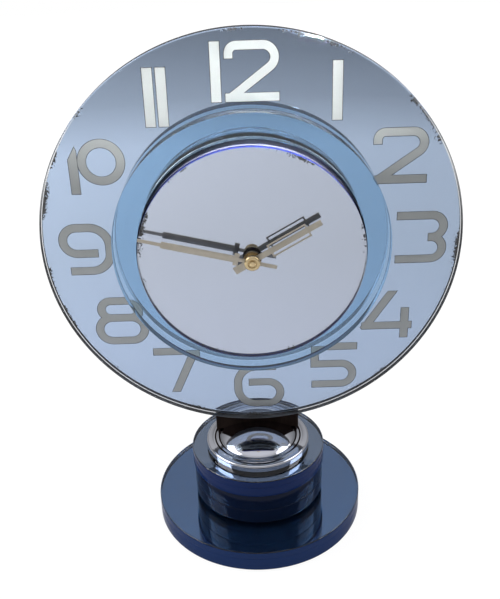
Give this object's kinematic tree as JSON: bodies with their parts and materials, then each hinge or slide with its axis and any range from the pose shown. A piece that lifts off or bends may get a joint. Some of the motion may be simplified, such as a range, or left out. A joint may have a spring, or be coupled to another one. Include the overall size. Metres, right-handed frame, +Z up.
{
  "type": "table clock",
  "caption": "Art Deco table clock: round mirror-glass dial with inlaid numerals, raised glass ring and centre mirror, on a stepped chrome cap, disc column and round base.",
  "frame": {"origin": "middle of the felt's underside, on the surface that the clock stands on", "axes": "+Z up, -Y the way the dial faces, +X to the right of someone who reads the dial"},
  "size_m": [0.254, 0.138, 0.323],
  "materials": {
    "felt": "matte",
    "navy_lacquer": "gloss lacquer",
    "blue_base_glass": "polished",
    "dark_lacquer": "gloss lacquer",
    "navy_disc": "gloss lacquer",
    "blue_top_glass": "polished",
    "core_wood": "raw",
    "chrome": "polished",
    "neck_wood": "dark stain, satin",
    "steel": "satin",
    "board_wood": "stained, satin",
    "brass": "satin",
    "silvering": "silvered, slightly foxed",
    "numeral_metal": "satin",
    "blue_dial_glass": "polished",
    "blue_ring_glass": "polished, ground bore",
    "black_drum": "black paint, satin",
    "clear_mirror": "polished, spotted near the rim",
    "rubber": "matte",
    "case_plastic": "fine texture",
    "motor_plastic": "smooth",
    "battery_jacket": "gloss",
    "knob_plastic": "smooth",
    "hand_metal": "satin, warm grey"
  },
  "bodies": {
    "clock": {"base_felt": "felt", "base_slab": "navy_lacquer", "base_glass": "blue_base_glass", "column_lower_disc": "dark_lacquer", "column_middle_disc": "dark_lacquer", "column_upper_disc": "navy_disc", "column_top_glass": "blue_top_glass", "cap_core": "core_wood", "chrome_cap": "chrome", "neck_block": "neck_wood", "tie_rods": "steel", "tie_washers": "steel", "tie_nuts": "steel", "back_board": "board_wood", "board_screws": "brass", "dial_backing": "silvering", "numerals": "numeral_metal", "dial_glass": "blue_dial_glass", "ring_glass": "blue_ring_glass", "mirror_drum": "black_drum", "centre_mirror": "clear_mirror", "face_washer": "rubber", "bush_nut": "brass", "seal_washer": "rubber", "threaded_bush": "brass", "movement_case": "case_plastic", "wheel_stud": "steel", "motor_module": "motor_plastic", "battery": "battery_jacket", "battery_contacts": "steel", "movement_cover": "case_plastic", "cover_screws": "steel"},
    "minute": {"minute_arbor": "brass", "minute_hand": "hand_metal", "hand_nut": "brass"},
    "hour": {"hour_wheel": "brass", "hour_hand": "hand_metal"},
    "minute_wheel": {"minute_wheel": "brass"},
    "setting": {"set_arbor": "steel", "set_knob": "knob_plastic"}
  },
  "joints": [
    {"name": "minute_hand_turn", "type": "hinge", "parent": "clock", "child": "minute", "pos_m": [0, -0.024, 0.196], "axis": [0, 1, 0], "continuous": true},
    {"name": "hour_hand_turn", "type": "hinge", "parent": "clock", "child": "hour", "pos_m": [0, -0.0234, 0.196], "axis": [0, 1, 0], "continuous": true},
    {"name": "minute_wheel_turn", "type": "hinge", "parent": "clock", "child": "minute_wheel", "pos_m": [-0.00742, 0.0105, 0.20342], "axis": [0, 1, 0], "continuous": true},
    {"name": "set_knob_turn", "type": "hinge", "parent": "clock", "child": "setting", "pos_m": [-0.01485, 0.029, 0.21085], "axis": [0, 1, 0], "continuous": true}
  ],
  "couplings": [
    {"joint": "hour_hand_turn", "follows": "minute_hand_turn", "ratio": 0.083333},
    {"joint": "minute_wheel_turn", "follows": "minute_hand_turn", "ratio": -0.33333},
    {"joint": "set_knob_turn", "follows": "minute_hand_turn", "ratio": 1}
  ]
}
